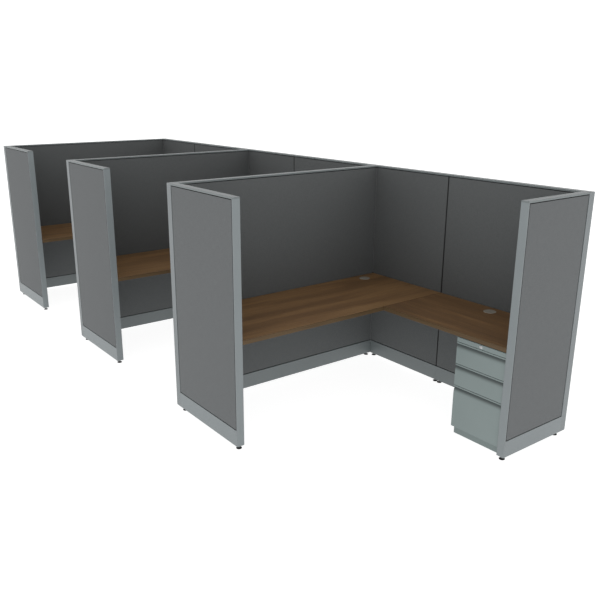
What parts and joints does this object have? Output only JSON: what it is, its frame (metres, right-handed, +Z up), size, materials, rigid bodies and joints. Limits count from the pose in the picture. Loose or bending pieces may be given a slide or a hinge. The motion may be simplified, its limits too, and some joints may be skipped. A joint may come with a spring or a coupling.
{
  "type": "cubicle workstation",
  "caption": "Run of joined office cubicles: fabric-tiled panels on a shared spine wall, L-shaped wood-look desks on brackets, and a drawer pedestal in each.",
  "frame": {"origin": "on the floor at the middle of the outline, below the glides' common resting plane", "axes": "+X along the spine towards the closed end, +Y from the open fronts to the spine wall, +Z up"},
  "size_m": [5.7064, 1.9388, 1.651],
  "materials": {
    "trim_paint": "satin silver-grey powder coat",
    "frame_paint": "dark grey powder coat",
    "tile_fabric": "plain mid-grey panel cloth",
    "walnut_laminate": "walnut-pattern laminate on board",
    "walnut_band": "walnut-coloured plastic edge band",
    "pedestal_paint": "satin silver-grey powder coat",
    "slide_steel": "zinc-plated steel",
    "lock_chrome": "nickel-plated",
    "grommet_plastic": "moulded light grey plastic",
    "glide_nylon": "black moulded nylon"
  },
  "bodies": {
    "root": {"spine_frames": "frame_paint", "divider_frames": "frame_paint", "wing_frames": "frame_paint", "spine_tiles": "tile_fabric", "divider_tiles": "tile_fabric", "wing_tiles": "tile_fabric", "spine_top_caps": "trim_paint", "divider_top_caps": "trim_paint", "wing_top_caps": "trim_paint", "spine_base_covers": "trim_paint", "divider_base_covers": "trim_paint", "wing_base_covers": "trim_paint", "post_tubes": "frame_paint", "corner_post_covers": "trim_paint", "tee_post_covers": "trim_paint", "post_caps": "trim_paint", "end_trims": "trim_paint", "levelling_glides": "glide_nylon", "main_worksurfaces": "walnut_laminate", "return_worksurfaces": "walnut_laminate", "edge_bands": "walnut_band", "cantilever_brackets": "frame_paint", "joining_plates": "frame_paint", "grommet_liners": "grommet_plastic", "pedestal_plinths": "pedestal_paint", "pedestal_spacers": "glide_nylon", "case_slides": "slide_steel", "pedestal_case_1": "pedestal_paint", "pedestal_case_2": "pedestal_paint", "pedestal_case_3": "pedestal_paint"},
    "corner_cap_1": {"corner_grommet_cap_1": "grommet_plastic"},
    "return_cap_1": {"return_grommet_cap_1": "grommet_plastic"},
    "upper_drawer_1": {"upper_tray_1": "pedestal_paint", "upper_front_1": "pedestal_paint"},
    "lower_drawer_1": {"lower_tray_1": "pedestal_paint", "lower_front_1": "pedestal_paint"},
    "file_drawer_1": {"file_tray_1": "pedestal_paint", "file_front_1": "pedestal_paint"},
    "file_slides_1": {"file_slides_1": "slide_steel"},
    "lock_1": {"lock_core_1": "lock_chrome"},
    "corner_cap_2": {"corner_grommet_cap_2": "grommet_plastic"},
    "return_cap_2": {"return_grommet_cap_2": "grommet_plastic"},
    "upper_drawer_2": {"upper_tray_2": "pedestal_paint", "upper_front_2": "pedestal_paint"},
    "lower_drawer_2": {"lower_tray_2": "pedestal_paint", "lower_front_2": "pedestal_paint"},
    "file_drawer_2": {"file_tray_2": "pedestal_paint", "file_front_2": "pedestal_paint"},
    "file_slides_2": {"file_slides_2": "slide_steel"},
    "lock_2": {"lock_core_2": "lock_chrome"},
    "corner_cap_3": {"corner_grommet_cap_3": "grommet_plastic"},
    "return_cap_3": {"return_grommet_cap_3": "grommet_plastic"},
    "upper_drawer_3": {"upper_tray_3": "pedestal_paint", "upper_front_3": "pedestal_paint"},
    "lower_drawer_3": {"lower_tray_3": "pedestal_paint", "lower_front_3": "pedestal_paint"},
    "file_drawer_3": {"file_tray_3": "pedestal_paint", "file_front_3": "pedestal_paint"},
    "file_slides_3": {"file_slides_3": "slide_steel"},
    "lock_3": {"lock_core_3": "lock_chrome"}
  },
  "joints": [
    {"name": "corner_cap_lift_1", "type": "slide", "parent": "root", "child": "corner_cap_1", "axis": [0, 0, 1], "range_m": [0, 0.03]},
    {"name": "return_cap_lift_1", "type": "slide", "parent": "root", "child": "return_cap_1", "axis": [0, 0, 1], "range_m": [0, 0.03]},
    {"name": "upper_drawer_slide_1", "type": "slide", "parent": "root", "child": "upper_drawer_1", "axis": [0, -1, 0], "range_m": [0, 0.375]},
    {"name": "lower_drawer_slide_1", "type": "slide", "parent": "root", "child": "lower_drawer_1", "axis": [0, -1, 0], "range_m": [0, 0.375]},
    {"name": "file_drawer_slide_1", "type": "slide", "parent": "root", "child": "file_drawer_1", "axis": [0, -1, 0], "range_m": [0, 0.49]},
    {"name": "file_slides_travel_1", "type": "slide", "parent": "root", "child": "file_slides_1", "axis": [0, -1, 0], "range_m": [0, 0.245]},
    {"name": "lock_turn_1", "type": "hinge", "parent": "root", "child": "lock_1", "pos_m": [-1.1669, 0.3148, 0.695], "axis": [0, -1, 0], "range_deg": [0, 90]},
    {"name": "corner_cap_lift_2", "type": "slide", "parent": "root", "child": "corner_cap_2", "axis": [0, 0, 1], "range_m": [0, 0.03]},
    {"name": "return_cap_lift_2", "type": "slide", "parent": "root", "child": "return_cap_2", "axis": [0, 0, 1], "range_m": [0, 0.03]},
    {"name": "upper_drawer_slide_2", "type": "slide", "parent": "root", "child": "upper_drawer_2", "axis": [0, -1, 0], "range_m": [0, 0.375]},
    {"name": "lower_drawer_slide_2", "type": "slide", "parent": "root", "child": "lower_drawer_2", "axis": [0, -1, 0], "range_m": [0, 0.375]},
    {"name": "file_drawer_slide_2", "type": "slide", "parent": "root", "child": "file_drawer_2", "axis": [0, -1, 0], "range_m": [0, 0.49]},
    {"name": "file_slides_travel_2", "type": "slide", "parent": "root", "child": "file_slides_2", "axis": [0, -1, 0], "range_m": [0, 0.245]},
    {"name": "lock_turn_2", "type": "hinge", "parent": "root", "child": "lock_2", "pos_m": [0.7169, 0.3148, 0.695], "axis": [0, -1, 0], "range_deg": [0, 90]},
    {"name": "corner_cap_lift_3", "type": "slide", "parent": "root", "child": "corner_cap_3", "axis": [0, 0, 1], "range_m": [0, 0.03]},
    {"name": "return_cap_lift_3", "type": "slide", "parent": "root", "child": "return_cap_3", "axis": [0, 0, 1], "range_m": [0, 0.03]},
    {"name": "upper_drawer_slide_3", "type": "slide", "parent": "root", "child": "upper_drawer_3", "axis": [0, -1, 0], "range_m": [0, 0.375]},
    {"name": "lower_drawer_slide_3", "type": "slide", "parent": "root", "child": "lower_drawer_3", "axis": [0, -1, 0], "range_m": [0, 0.375]},
    {"name": "file_drawer_slide_3", "type": "slide", "parent": "root", "child": "file_drawer_3", "axis": [0, -1, 0], "range_m": [0, 0.49]},
    {"name": "file_slides_travel_3", "type": "slide", "parent": "root", "child": "file_slides_3", "axis": [0, -1, 0], "range_m": [0, 0.245]},
    {"name": "lock_turn_3", "type": "hinge", "parent": "root", "child": "lock_3", "pos_m": [2.6007, 0.3148, 0.695], "axis": [0, -1, 0], "range_deg": [0, 90]}
  ],
  "couplings": [
    {"joint": "file_slides_travel_1", "follows": "file_drawer_slide_1", "ratio": 0.5},
    {"joint": "file_slides_travel_2", "follows": "file_drawer_slide_2", "ratio": 0.5},
    {"joint": "file_slides_travel_3", "follows": "file_drawer_slide_3", "ratio": 0.5}
  ]
}
